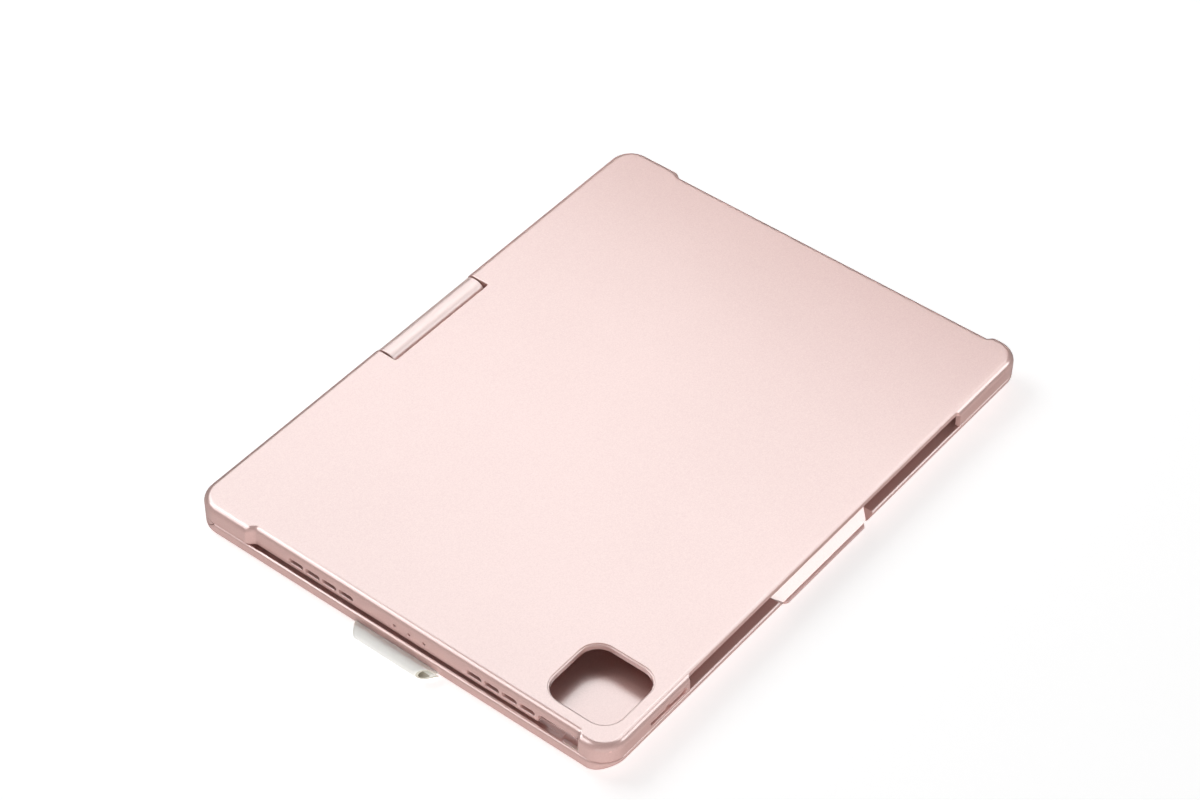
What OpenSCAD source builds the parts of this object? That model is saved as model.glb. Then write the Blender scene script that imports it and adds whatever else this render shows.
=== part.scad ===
// Keyboard case for a tablet: a hinged clamshell. The lid holds the tablet, the base holds
// the keyboard and touchpad. It is drawn closed, with +Z up and the feet on z = 0.
// The hinge side is at +Y, the front at -Y, the stylus loop at -X.

/* [Case] */
// Width of the case along the hinge
case_w = 256; // [254:1:262]
// Depth of the case from hinge to front
case_d = 194; // [193:0.5:198]
// Height of the closed case above the table
case_h = 15.4; // [15.4:0.1:17]
// Radius of the corners, seen from above
corner_r = 10; // [8:1:12]
// Height of the rubber feet
foot_h = 1; // [0.8:0.1:1.2]
// Height of the base from its underside to its rim
base_h = 6; // [6:0.1:6.4]

/* [Tablet] */
// Width of the tablet that the lid holds
tablet_w = 247.6; // [246:0.1:248]
// Depth of the tablet
tablet_d = 178.5; // [177:0.1:179]
// Middle of the tablet, from the middle of the case
tablet_y = -5.5; // [-5.6:0.1:-5.4]
// Play round the tablet
tablet_play = 0.2; // [0.1:0.05:0.3]

/* [Lid] */
// Thickness of the lid's top plate
plate_t = 2.4; // [2.2:0.1:2.6]
// Rounding of the lid's top edge
lid_edge_r = 3; // [2:0.5:3.5]
// Depth of the flat recess in both short sides
recess_t = 2.3; // [1.8:0.1:2.4]
// Side of the square camera window
window = 30; // [28:0.5:31]
// Length of one speaker slot
slot_l = 6.9; // [6:0.1:7.2]
// Distance between neighbouring speaker slots
slot_pitch = 8; // [7.8:0.1:8.4]

/* [Hinge] */
// Half width and half height of the hinge knuckle
knuckle_r = 4.9; // [4.8:0.1:5]
// Length of the knuckle
knuckle_l = 53; // [50:1:56]
// Radius of the hinge shafts
shaft_r = 1.5; // [1.4:0.05:1.6]

/* [Keyboard] */
// Width of one key unit
unit = 15.9; // [15.6:0.1:16]
// Distance between the rows
row_pitch = 15.5; // [15:0.1:15.6]
// Gap between neighbouring keycaps
key_gap = 2; // [1.8:0.1:2.2]
// Travel of a key
key_travel = 0.9; // [0.7:0.1:0.9]
// Width of the touchpad
pad_w = 104; // [90:1:106]
// Depth of the touchpad
pad_d = 62; // [50:1:62]

/* [Hidden] */
$fn = 48;

rose = [0.90, 0.72, 0.70];
dark = [0.20, 0.20, 0.22];
steel = [0.70, 0.71, 0.73];
big = 400;                              // longer than the case, for cuts that go right through

rim_z = foot_h + base_h;                // top of the base's rim
split = 0.4;                            // gap between the base's rim and the lid
lid_z = rim_z + split;                  // lower edge of the lid's walls
pocket_z = case_h - plate_t;            // roof of the tablet's pocket
pocket_x = tablet_w/2 + tablet_play;    // half width of the pocket
pocket_front = tablet_y - tablet_d/2 - tablet_play;
pocket_back = tablet_y + tablet_d/2 + tablet_play;
front = -case_d/2;
back = case_d/2;
side = case_w/2;

axis_y = back - knuckle_r;              // hinge axis
axis_z = case_h - knuckle_r;
notch_gap = 0.7;                        // between the knuckle and the lid's notch
notch_x = knuckle_l/2 + 0.8;
notch_y = axis_y - knuckle_r - notch_gap;
barrel_r = knuckle_r + 0.9;             // lower half of the lid's round rear edge
barrel_t = 0.9;
trough_r = barrel_r + 0.35;             // trough behind the keyboard, round the hinge axis
trough_y = axis_y - knuckle_r - 1;      // its front wall at the knuckle
ledge_z = foot_h + 3.3;                 // floor of that trough

bottom_r = 2.7;                         // rounding under the base's sides
chamfer = 4.1;                          // cut under the base's front edge
deck_z = rim_z - 1.5;                   // upper face of the deck
deck_t = 1;
deck_x = side - 6.5;                    // half width of the sunk deck
deck_front = front + 6;
deck_back = trough_y - 3.2;
plate_z = foot_h + 1;                   // upper face of the bottom plate
bottom_x = side - 4.2;                  // half width of the bottom plate
bottom_front = front + 6.5;
bottom_back = trough_y - 1.7;
cavity_x = side - 8.1;                  // half width of the space inside the base
cavity_front = front + 11.5;
cavity_back = trough_y - 4.9;

scoop_x = 28.8;                         // half width of the thumb scoop
scoop_depth = 3.5;
scoop_y = 4.5;

loop_front = -21.5;                     // root of the stylus loop, along the side
loop_back = 18;
loop_r = 2.7;                           // outer rounding of the loop
loop_t = 0.9;
loop_z = 3.7;
loop_out = 6.2;                         // how far the loop stands out
tab_l = 4;                              // how far its tab reaches into the base
shift = loop_out/2;                     // puts the origin in the middle of the whole box

camera_x = -103.8;
camera_y = -74.9;
volume_x = -93.8;                       // middle of the volume recess
volume_l = 20.4;
volume_h = 2.8;
volume_z = case_h - 5;
cut_left = -82;                         // cut-out in the lid's front wall
cut_right = 85;
plate_edge = front + 1.6;               // front edge of the top plate over that cut-out
slot_z = case_h - 5.2;
slot_h = 2;
slot_first = 29.9;                      // first speaker slot, from the tablet's middle
recess_back = 69.5;                     // ends of the recess in the short sides
recess_front = -83;
recess_slope = 2.5;
rim_lip = 0.95;                         // wall left outside the grooves in the base's rim
groove_w = [4.05, 1.65];                // groove below the recess, left and right
groove_d = [3, 1];                      // the right one stays above the charging socket
groove_front = -75;                     // clear of the bumpers
groove_back = 67;

keys_back = 80;                         // rear edge of the keyboard
function_d = 8;                         // depth of the half-height function row
cap_top = deck_z + 0.9;
cap_z = deck_z - deck_t - 0.05;
key_play = 0.3;
pad_back = -22;
port_y = -24;                           // charging socket in the base
port_z = foot_h + 2.75;
switch_y = -42;
board_z = plate_z + 0.3;
stack_z = plate_z + 0.7;                // underside of the key assembly's steel plate
domes_z = stack_z + 0.5;

keys_x = -7.5*unit;
// Each row: its rear edge, its depth, and the widths of its keys in units
ROWS = [
    [keys_back, function_d, [for (i = [0:13]) 15/14]],
    [keys_back - function_d, row_pitch, concat([for (i = [0:12]) 1], [2])],
    [keys_back - function_d - row_pitch, row_pitch, concat([1.5], [for (i = [0:11]) 1], [1.5])],
    [keys_back - function_d - 2*row_pitch, row_pitch, concat([1.75], [for (i = [0:10]) 1], [2.25])],
    [keys_back - function_d - 3*row_pitch, row_pitch, concat([2.25], [for (i = [0:9]) 1], [2.75])],
    [keys_back - function_d - 4*row_pitch, row_pitch, [1, 1, 1, 1.25, 5.5, 1.25, 1, 1, 1, 1]]];
SPACE = 4;                              // place of the space bar in the last row
LEFT = 7;                               // places of the arrow keys in the last row
UPDOWN = 8;
RIGHT = 9;

FEET = [[-105, -74], [105, -74], [-105, 70], [105, 70]];
BOTTOM_SCREWS = [for (x = [-121.3, 0, 121.3], y = [cavity_front - 2.2, 8, cavity_back + 1.6])
    if (x != 0 || y != 8) [x, y]];

function arc(c, r, a0, a1, n = 8) =
    [for (i = [0:n]) c + r*[cos(a0 + (a1 - a0)*i/n), sin(a0 + (a1 - a0)*i/n)]];
function round_rect(w, d, r, n = 8) = concat(
    arc([w/2 - r, d/2 - r], r, 0, 90, n), arc([r - w/2, d/2 - r], r, 90, 180, n),
    arc([r - w/2, r - d/2], r, 180, 270, n), arc([w/2 - r, r - d/2], r, 270, 360, n));
function stadium(l, h) = concat(
    arc([l/2 - h/2, 0], h/2, -90, 90), arc([h/2 - l/2, 0], h/2, 90, 270));
function before(widths, i) = i == 0 ? 0 : widths[i - 1] + before(widths, i - 1);

// Draws in the case's own frame, whose middle is beside the origin
module place(c) color(c) translate([shift, 0, 0]) children();
module slab(points, z0, z1) translate([0, 0, z0]) linear_extrude(z1 - z0) polygon(points);
// A (y, z) outline drawn out along X, and an (x, z) outline drawn out along Y
module along_x(points, x0, x1) translate([x0, 0, 0]) rotate([90, 0, 90])
    linear_extrude(x1 - x0) polygon(points);
module along_y(points, y0, y1) translate([0, y1, 0]) rotate([90, 0, 0])
    linear_extrude(y1 - y0) polygon(points);
module block(a, b) translate(a) cube(b - a);
module rod_x(r, x0, x1) translate([x0, axis_y, axis_z]) rotate([0, 90, 0]) cylinder(r = r, h = x1 - x0);
module case_outline(z0, z1) slab(round_rect(case_w, case_d, corner_r), z0, z1);

module key_block(row, i, d0, d1, grow, z0, z1) {
    x0 = keys_x + unit*before(row[2], i) + key_gap/2 - grow;
    x1 = keys_x + unit*before(row[2], i + 1) - key_gap/2 + grow;
    block([x0, row[0] - d1 + key_gap/2 - grow, z0], [x1, row[0] - d0 - key_gap/2 + grow, z1]);
}
module keycap(row, i, d0 = 0, d1 = 0) {
    depth = (d1 == 0 ? row[1] : d1) - d0 - key_gap;
    width = row[2][i]*unit - key_gap;
    mid_x = keys_x + unit*(before(row[2], i) + row[2][i]/2);
    translate([mid_x, row[0] - d0 - key_gap/2 - depth/2, 0])
        slab(round_rect(width, depth, 1.2, 4), cap_z, cap_top);
}
module key_row(row, first, last) for (i = [first:last]) keycap(row, i);

module base_body() intersection() {
    case_outline(foot_h, rim_z);
    along_x(concat([[front, rim_z], [front, foot_h + chamfer], [front + chamfer, foot_h]],
        arc([back - bottom_r, foot_h + bottom_r], bottom_r, -90, 0), [[back, rim_z]]), -big, big);
    along_y(concat([[-side, rim_z]], arc([bottom_r - side, foot_h + bottom_r], bottom_r, 180, 270),
        arc([side - bottom_r, foot_h + bottom_r], bottom_r, -90, 0), [[side, rim_z]]), -big, big);
}
module base_frame() place(rose) difference() {
    union() {
        base_body();
        // lip under the thumb scoop
        along_x([[front + chamfer, foot_h + 2.6], [front, foot_h + 2.6], [front, foot_h + 1.7],
            [front + 1.7, foot_h], [front + chamfer, foot_h]], 3 - scoop_x, scoop_x - 3);
    }
    rod_x(trough_r, -big, big);
    block([-big, axis_y, ledge_z], [big, big, big]);
    block([-notch_x, trough_y, ledge_z], [notch_x, big, big]);
    // space inside, and the seat of the deck plate
    block([-cavity_x, cavity_front, -big], [cavity_x, cavity_back, big]);
    slab([for (p = round_rect(2*deck_x, deck_back - deck_front, 3)) p + [0, (deck_back + deck_front)/2]],
        deck_z - deck_t, big);
    slab([for (p = round_rect(2*bottom_x + 0.2, bottom_back - bottom_front + 0.2, 3))
        p + [0, (bottom_back + bottom_front)/2]], -1, plate_z);
    for (p = BOTTOM_SCREWS) translate([p[0], p[1], 0]) cylinder(r = 0.85, h = plate_z + 1.6);
    // thumb scoop
    along_x([[front + scoop_y, rim_z], [front, rim_z - scoop_depth], [front - 5, rim_z - scoop_depth - 4],
        [front - 5, rim_z + 2], [front + scoop_y, rim_z + 2]], -scoop_x, scoop_x);
    // groove in the rim below the lid's recess
    for (i = [0, 1]) mirror([1 - i, 0, 0])
        block([side - rim_lip - groove_w[i], groove_front, rim_z - groove_d[i]], [side - rim_lip, groove_back, big]);
    // slot for the stylus loop's tab
    block([-side - 1, loop_front + 2, loop_z - 1.6], [tab_l - side + 0.2, loop_back - 2, loop_z - 0.4]);
    // charging socket and power switch
    translate([0, port_y, port_z]) along_x(stadium(9.2, 3.4), cavity_x - 1, side + 1);
    block([side - 1.2, switch_y - 2.5, port_z - 1.1], [side + 1, switch_y + 5, port_z + 1.1]);
    block([cavity_x - 1, switch_y - 1, port_z - 0.4], [side, switch_y + 3.6, port_z + 0.4]);
    for (x = [-15, 15]) translate([x, axis_y, 0]) {
        cylinder(r = 1.1, h = big);
        cylinder(r = 2, h = foot_h + 1);
    }
    for (p = bumper_places()) translate([p[0], p[1], rim_z - 0.4]) slab(round_rect(1.7, 8.1, 0.8, 4), 0, 1);
}
function bumper_places() = [for (x = [-126.2, 126.2], y = [-80, 76]) [x, y]];

module deck_plate() place(rose) difference() {
    slab([for (p = round_rect(2*deck_x - 0.1, deck_back - deck_front - 0.1, 3))
        p + [0, (deck_back + deck_front)/2]], deck_z - deck_t, deck_z);
    for (row = ROWS, i = [0:len(row[2]) - 1]) key_block(row, i, 0, row[1], key_play, 0, big);
    block([-pad_w/2 - 0.25, pad_back - pad_d - 0.25, 0], [pad_w/2 + 0.25, pad_back + 0.25, big]);
    for (x = light_places()) translate([x, -13, 0]) cylinder(r = 0.85, h = big);
}
function light_places() = [100, 104, 108];

module base_bottom_plate() place(rose) difference() {
    slab([for (p = round_rect(2*bottom_x, bottom_back - bottom_front, 3))
        p + [0, (bottom_back + bottom_front)/2]], foot_h, plate_z);
    for (p = FEET) translate([p[0], p[1], 0]) cylinder(r = 6.1, h = foot_h + 0.4);
    for (p = BOTTOM_SCREWS) translate([p[0], p[1], 0]) {
        cylinder(r = 0.9, h = big);
        cylinder(r = 1.6, h = foot_h + 0.55);
    }
}
module bottom_screws() place(steel) for (p = BOTTOM_SCREWS) translate([p[0], p[1], foot_h + 0.05]) {
    cylinder(r = 1.5, h = 0.5);
    cylinder(r = 0.8, h = 2.2);
}
module rubber_feet() place(dark) for (p = FEET) translate([p[0], p[1], 0]) cylinder(r = 6, h = foot_h + 0.4);
module lid_bumpers() place(dark) for (p = bumper_places())
    translate([p[0], p[1], 0]) slab(round_rect(1.6, 8, 0.8, 4), rim_z - 0.4, rim_z + 0.25);

// The loop is a flattened tube of soft sheet whose slanted ends are open, with a tab into the base
module stylus_loop() place([0.93, 0.93, 0.9, 0.8]) {
    outer = loop_out - loop_r;
    difference() {
        intersection() {
            along_y(concat([[-side, loop_z - 1.9]], arc([-side - outer, loop_z], loop_r, 270, 90, 10),
                [[-side, loop_z + 0.1]]), loop_front, loop_back);
            slab([[-side + 1, loop_front - 1], [-side + 1, loop_back + 1], [-side, loop_back],
                [-side - loop_out - 0.1, loop_back - 4.5], [-side - loop_out - 0.1, loop_front + 6],
                [-side, loop_front]], -1, big);
        }
        along_y(concat([[-side - 0.8, loop_z - 1.1]], arc([-side - outer, loop_z], loop_r - loop_t, 270, 90, 10),
            [[-side - 0.8, loop_z - 0.6]]), -big, big);
    }
    block([-side - 0.5, loop_front + 2.1, loop_z - 1.5], [tab_l - side, loop_back - 2.1, loop_z - 0.5]);
}

module hinge_knuckle() place(rose) difference() {
    along_x(concat([[axis_y - knuckle_r, ledge_z]], arc([axis_y, axis_z], knuckle_r, 180, 90, 10),
        arc([axis_y + knuckle_r - 3.8, case_h - 3.8], 3.8, 90, 0, 8), [[back, ledge_z]]),
        -knuckle_l/2, knuckle_l/2);
    rod_x(3, -big, big);
    for (x = [-15, 15]) translate([x, axis_y, 0]) cylinder(r = 0.95, h = axis_z - 2);
}
module knuckle_screws() place(steel) for (x = [-15, 15]) translate([x, axis_y, foot_h + 0.1]) {
    cylinder(r = 1.8, h = 0.8);
    cylinder(r = 0.9, h = 5.6);
}
module friction_bush(x0, x1) place([0.75, 0.6, 0.35]) difference() {
    rod_x(2.95, x0, x1);
    rod_x(shaft_r + 0.05, -big, big);
}
module friction_bush_left() friction_bush(-26, -6);
module friction_bush_right() friction_bush(6, 26);

module hinge_shaft(s) place(steel) rod_x(shaft_r, s < 0 ? -44 : 8, s < 0 ? -8 : 44);
module hinge_shaft_left() hinge_shaft(-1);
module hinge_shaft_right() hinge_shaft(1);
module hinge_bracket(s) place(steel) mirror([s < 0 ? 1 : 0, 0, 0]) difference() {
    union() {
        block([30, axis_y - 3.4, axis_z - 2.9], [42, axis_y + 2.9, pocket_z]);
        block([42, axis_y - 4.4, pocket_z - 1], [72, axis_y + 2.9, pocket_z]);
    }
    rod_x(shaft_r + 0.02, 0, big);
    for (x = bracket_holes()) translate([x, axis_y - 0.7, 0]) cylinder(r = 1, h = big);
}
function bracket_holes() = [49, 65];
module hinge_bracket_left() hinge_bracket(-1);
module hinge_bracket_right() hinge_bracket(1);
module hinge_screws() place(steel) for (s = [-1, 1], x = bracket_holes())
    translate([s*x, axis_y - 0.7, pocket_z - 1.8]) {
        cylinder(r = 1.9, h = 0.8);
        cylinder(r = 0.95, h = 3);
    }

module barrel_cover(s) place(rose) intersection() {
    case_outline(0, lid_z);
    block([s < 0 ? -side : notch_x, 0, 0], [s < 0 ? -notch_x : side, big, lid_z]);
    difference() {
        rod_x(barrel_r, -big, big);
        block([-side + 5, 0, -1], [side - 5, axis_y - knuckle_r - 2, big]);
        rod_x(barrel_r - barrel_t, s < 0 ? -side + 4 : notch_x + 1, s < 0 ? -notch_x - 1 : side - 4);
    }
}
module lid_barrel_cover_left() barrel_cover(-1);
module lid_barrel_cover_right() barrel_cover(1);

module lid_body() intersection() {
    case_outline(lid_z, case_h);
    along_x(concat([[front, lid_z]], arc([front + lid_edge_r, case_h - lid_edge_r], lid_edge_r, 180, 90),
        arc([back - lid_edge_r, case_h - lid_edge_r], lid_edge_r, 90, 0), [[back, lid_z]]), -big, big);
    along_y(concat([[-side, lid_z]], arc([lid_edge_r - side, case_h - lid_edge_r], lid_edge_r, 180, 90),
        arc([side - lid_edge_r, case_h - lid_edge_r], lid_edge_r, 90, 0), [[side, lid_z]]), -big, big);
}
// Small lips under the tablet's edge
module tablet_lips() {
    for (s = [-1, 1], y = [-92, 64])
        block([s < 0 ? -pocket_x - 0.5 : pocket_x - 0.6, y, lid_z],
            [s < 0 ? -pocket_x + 0.6 : pocket_x + 0.5, y + 8, lid_z + 0.6]);
    for (x = [-120, 100]) block([x, pocket_front - 0.5, lid_z], [x + 12, pocket_front + 0.6, lid_z + 0.6]);
}
module lid_shell() place(rose) {
    difference() {
        lid_body();
        block([-pocket_x, pocket_front, 0], [pocket_x, pocket_back, pocket_z]);
        // flat recess in the short sides
        for (s = [-1, 1]) mirror([s < 0 ? 1 : 0, 0, 0])
            slab([[side + 1, recess_back + recess_slope], [side, recess_back + recess_slope/2],
                [side - recess_t, recess_back - recess_slope/2], [side - recess_t, recess_front + recess_slope/2],
                [side, recess_front - recess_slope/2], [side + 1, recess_front - recess_slope]], -big, big);
        // hinge knuckle's notch and the hinge channels
        block([-notch_x, notch_y, 0], [notch_x, big, big]);
        for (s = [-1, 1]) mirror([s < 0 ? 1 : 0, 0, 0])
            block([notch_x + 1.5, notch_y + 0.5, 0], [side - 12, back - 1.7, pocket_z]);
        rod_x(shaft_r + 0.4, -notch_x - 3, notch_x + 3);
        for (s = [-1, 1], x = bracket_holes()) translate([s*x, axis_y - 0.7, pocket_z - 1]) cylinder(r = 1, h = 2.4);
        // front cut-out
        block([cut_left, -big, 0], [cut_right, plate_edge, big]);
        block([cut_left, -big, 0], [cut_right, pocket_front + 1, pocket_z]);
        // camera window
        translate([camera_x, camera_y, 0]) {
            slab(round_rect(window, window, 8), 0, big);
            slab(round_rect(window + 1.4, window + 1.4, 8.7), case_h - 0.5, big);
        }
        // speaker slots, microphone holes, charging cut-out and power button notch
        for (s = [-1, 1], t = [-1, 1], i = [0:3]) mirror([s < 0 ? 1 : 0, 0, 0])
            translate([0, tablet_y + t*(slot_first + i*slot_pitch), slot_z])
                along_x(stadium(slot_l, slot_h), pocket_x - 1, side + 1);
        for (i = [-1:1]) translate([-side - 1, tablet_y + i*slot_l, slot_z + 0.3])
            rotate([0, 90, 0]) cylinder(r = 0.5, h = 6);
        translate([0, tablet_y, slot_z]) along_x(stadium(12.4, 5), pocket_x - 1, side + 1);
        block([-side - 1, recess_front, 0], [-pocket_x + 1, recess_front + 18.6, case_h - 4]);
        // volume recess, with a rebate behind it for the buttons' flanges
        translate([volume_x, 0, volume_z]) {
            along_y(stadium(volume_l, volume_h), -big, pocket_front + 1);
            along_y(round_rect(volume_l + 0.9, volume_h + 1.4, 1), pocket_front - 0.9, pocket_front + 1);
        }
    }
    block([volume_x - 0.7, front + 1.2, volume_z - 2.4], [volume_x + 0.7, pocket_front, volume_z + 2.4]);
    tablet_lips();
}
// Buttons that pass a press on to the tablet's own volume keys
module volume_button(s) place(rose) translate([volume_x + s*volume_l/4, 0, volume_z]) {
    along_y(stadium(volume_l/2 - 1.5, volume_h - 0.7), front + 0.6, pocket_front - 0.65);
    along_y(round_rect(volume_l/2 - 1.9, volume_h + 0.8, 0.8, 4), pocket_front - 0.7, pocket_front - 0.1);
}
module volume_up_button() volume_button(-1);
module volume_down_button() volume_button(1);

module key_layer(z0, z1) block([-119.6, keys_back - 86.6, z0], [119.6, keys_back + 0.8, z1]);
module key_backplate() place(steel) key_layer(stack_z, stack_z + 0.3);
module membrane_circuit() place([0.8, 0.85, 0.8]) key_layer(stack_z + 0.3, domes_z);
module dome_sheet() place([0.9, 0.9, 0.9]) {
    key_layer(domes_z, domes_z + 0.2);
    for (row = ROWS, i = [0:len(row[2]) - 1])
        translate([keys_x + unit*(before(row[2], i) + row[2][i]/2), row[0] - row[1]/2, domes_z + 0.1])
            cylinder(r = 2.2, h = cap_z - domes_z - 0.15, $fn = 24);
}
module backlight_film() place([0.95, 0.95, 0.98]) key_layer(stack_z - 0.2, stack_z);
module battery_cells() place([0.75, 0.76, 0.78]) {
    slab([for (p = round_rect(56, 60, 2, 4)) p + [-87, -50]], plate_z + 0.1, plate_z + 2.3);
    slab([for (p = round_rect(56, 32, 2, 4)) p + [87, -66]], plate_z + 0.1, plate_z + 2.3);
}
module control_board() place([0.1, 0.35, 0.25]) {
    block([60, -47, board_z], [119.7, -15, board_z + 0.8]);
    for (p = [[72, -26, 7], [86, -38, 5], [100, -34, 6]])
        block([p[0], p[1], board_z + 0.8], [p[0] + p[2], p[1] + p[2], board_z + 1.6]);
    for (x = light_places()) block([x - 0.8, -15.4, board_z + 0.8], [x + 0.8, -15.1, board_z + 1.2]);
}
module keyboard_ribbon() place([0.85, 0.65, 0.3]) block([78, -15, board_z], [92, -6.4, board_z + 0.15]);
module touchpad_cable() place([0.85, 0.65, 0.3]) block([30, -40, board_z - 0.2], [59.9, -30, board_z - 0.05]);
module usb_c_socket() place(steel) translate([0, port_y, port_z]) {
    difference() {
        along_x(stadium(8.94, 3.2), side - 6.4, side - 0.3);
        along_x(stadium(8.3, 2.5), side - 5.8, side + 1);
    }
    block([side - 8.2, -3.3, -0.35], [side - 1.5, 3.3, 0.35]);
}
module indicator_light_pipes() place([0.9, 0.95, 1, 0.7]) for (x = light_places())
    translate([x, -13, deck_z - deck_t - 1]) cylinder(r = 0.8, h = deck_t + 1);
module wake_magnet() place(steel) block([60, -49.5, plate_z + 0.1], [72, -47.5, plate_z + 2]);

module touchpad() place([0.25, 0.24, 0.25])
    slab([for (p = round_rect(pad_w, pad_d, 3)) p + [0, pad_back - pad_d/2]], deck_z - deck_t, deck_z - 0.05);
module touchpad_board() place([0.1, 0.35, 0.25])
    block([3 - pad_w/2, pad_back - pad_d + 3, deck_z - deck_t - 0.6], [pad_w/2 - 3, pad_back - 3, deck_z - deck_t]);
module power_switch() place(dark) {
    translate([0, switch_y, port_z]) along_x(round_rect(3.8, 1.9, 0.5, 4), side - 1.1, side - 0.15);
    block([cavity_x - 2, switch_y - 0.5, port_z - 0.3], [side - 1, switch_y + 0.5, port_z + 0.3]);
}

module function_keys() place(dark) key_row(ROWS[0], 0, 13);
module number_row_keys() place(dark) key_row(ROWS[1], 0, 13);
module top_letter_keys() place(dark) key_row(ROWS[2], 0, 13);
module home_letter_keys() place(dark) key_row(ROWS[3], 0, 12);
module lower_letter_keys() place(dark) key_row(ROWS[4], 0, 11);
module modifier_keys() place(dark) {
    key_row(ROWS[5], 0, SPACE - 1);
    key_row(ROWS[5], SPACE + 1, LEFT - 1);
}
module space_bar() place(dark) keycap(ROWS[5], SPACE);
module arrow_keys() place(dark) {
    keycap(ROWS[5], LEFT);
    keycap(ROWS[5], UPDOWN, 0, row_pitch/2 + key_gap/2 - 0.2);
    keycap(ROWS[5], UPDOWN, row_pitch/2 - key_gap/2 + 0.2, row_pitch);
    keycap(ROWS[5], RIGHT);
}

base_frame();
deck_plate();
base_bottom_plate();
bottom_screws();
rubber_feet();
lid_bumpers();
stylus_loop();
hinge_knuckle();
knuckle_screws();
friction_bush_left();
friction_bush_right();
key_backplate();
membrane_circuit();
dome_sheet();
backlight_film();
battery_cells();
control_board();
keyboard_ribbon();
touchpad_cable();
usb_c_socket();
indicator_light_pipes();
wake_magnet();
lid_shell();
lid_barrel_cover_left();
lid_barrel_cover_right();
hinge_bracket_left();
hinge_bracket_right();
hinge_shaft_left();
hinge_shaft_right();
hinge_screws();
volume_up_button();
volume_down_button();
touchpad();
touchpad_board();
power_switch();
function_keys();
number_row_keys();
top_letter_keys();
home_letter_keys();
lower_letter_keys();
modifier_keys();
space_bar();
arrow_keys();
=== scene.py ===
"""Looks of the tablet keyboard case: refined shells, keys, stylus loop, screws and materials."""
import math

import bmesh
import bpy
from mathutils import Matrix, Vector


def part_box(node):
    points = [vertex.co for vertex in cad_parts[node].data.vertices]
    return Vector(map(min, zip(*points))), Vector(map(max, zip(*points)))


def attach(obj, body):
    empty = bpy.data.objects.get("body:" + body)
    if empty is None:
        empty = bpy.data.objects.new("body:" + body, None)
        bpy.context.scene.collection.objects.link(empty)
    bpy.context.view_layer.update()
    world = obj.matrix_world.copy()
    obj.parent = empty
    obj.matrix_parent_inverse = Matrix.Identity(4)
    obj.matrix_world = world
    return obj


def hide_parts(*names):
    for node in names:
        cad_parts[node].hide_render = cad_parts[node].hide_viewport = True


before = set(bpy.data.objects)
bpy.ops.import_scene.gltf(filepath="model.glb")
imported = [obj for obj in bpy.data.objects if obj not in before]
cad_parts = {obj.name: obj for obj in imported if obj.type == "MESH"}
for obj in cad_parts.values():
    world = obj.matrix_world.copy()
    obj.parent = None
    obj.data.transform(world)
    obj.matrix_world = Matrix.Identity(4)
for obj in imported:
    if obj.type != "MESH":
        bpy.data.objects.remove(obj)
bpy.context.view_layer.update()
MM = 0.001
LID_LO, LID_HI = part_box("lid_shell")
SHIFT = (LID_LO.x + LID_HI.x) / 2 / MM        # middle of the case along X, in mm

# ---------------------------------------------------------------- camera
FOCAL_MM = 96.43
AZIMUTH, ELEVATION, ROLL = -51.703, 44.744, 0.495
CAMERA_MM = (-669.722 + SHIFT, -520.101, 867.103)


def aim(azimuth, elevation, roll=0.0):
    """Rotation of a camera or lamp that looks at the object from azimuth and elevation, in degrees."""
    a, e, r = (math.radians(v) for v in (azimuth, elevation, roll))
    back = Vector((math.sin(a) * math.cos(e), -math.cos(a) * math.cos(e), math.sin(e)))
    right = Vector((math.cos(a), math.sin(a), 0))
    up = back.cross(right)
    across = right * math.cos(r) + up * math.sin(r)
    return Matrix((across, back.cross(across), back)).transposed()


camera = bpy.data.objects.new("camera", bpy.data.cameras.new("camera"))
bpy.context.scene.collection.objects.link(camera)
camera.data.lens = FOCAL_MM
camera.data.sensor_width = 36
camera.data.clip_end = 20
camera.matrix_world = Matrix.Translation(Vector(CAMERA_MM) * MM) @ aim(AZIMUTH, ELEVATION, ROLL).to_4x4()
bpy.context.scene.camera = camera

# ---------------------------------------------------------------- sizes in mm, as in the CAD model
SIDE, FRONT, BACK = 128.0, -97.0, 97.0
TOP, LID_Z, RIM_Z, FOOT_H = 15.4, 7.4, 7.0, 1.0
CORNER, EDGE_R = 10.0, 3.0
RECESS = 2.3                                   # how far the short sides step in between the corners
AXIS_Y, AXIS_Z, KNUCKLE_R = 92.1, 10.5, 4.9    # hinge axis and the knuckle round it
BARREL_R, TROUGH_R, LEDGE_Z = 5.8, 6.15, 4.3
NOTCH_W = 54.6                                 # width of the knuckle's notch
POCKET_FRONT, POCKET_BACK, POCKET_X, POCKET_TOP = -94.95, 83.95, 124.0, 13.0
INSIDE_X = 122.5                               # cuts through a side wall start here, inside the pocket
TABLET_Y, SLOT_Z = -5.5, 10.2                  # the tablet's middle line, and the speaker slots' height
VOLUME_X, VOLUME_Z, BUTTON_STEP = -93.8, TOP - 5, 5.45
DECK_Z, CAP_TOP, CAP_Z = 5.5, 6.4, 4.45
DECK_Y, DECK_D = (-91 + 83.0) / 2, 83.0 + 91
PLATE_Y, PLATE_W, PLATE_D = (-90.5 + 84.5) / 2, 247.6, 175.0      # bottom plate
PAD_W, PAD_D, PAD_Y = 104, 62, -53
PORT_Z = 3.75                                  # charging port and power switch
UNIT, ROW, GAP, KEYS_BACK, FN_D = 15.9, 15.5, 2.0, 80.0, 8.0
FEET = [(x, y) for x in (-105, 105) for y in (-74, 70)]
SCREWS = [(x, y) for x in (-121.3, 0, 121.3) for y in (-87.7, 8, 82.9) if (x, y) != (0, 8)]


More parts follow.
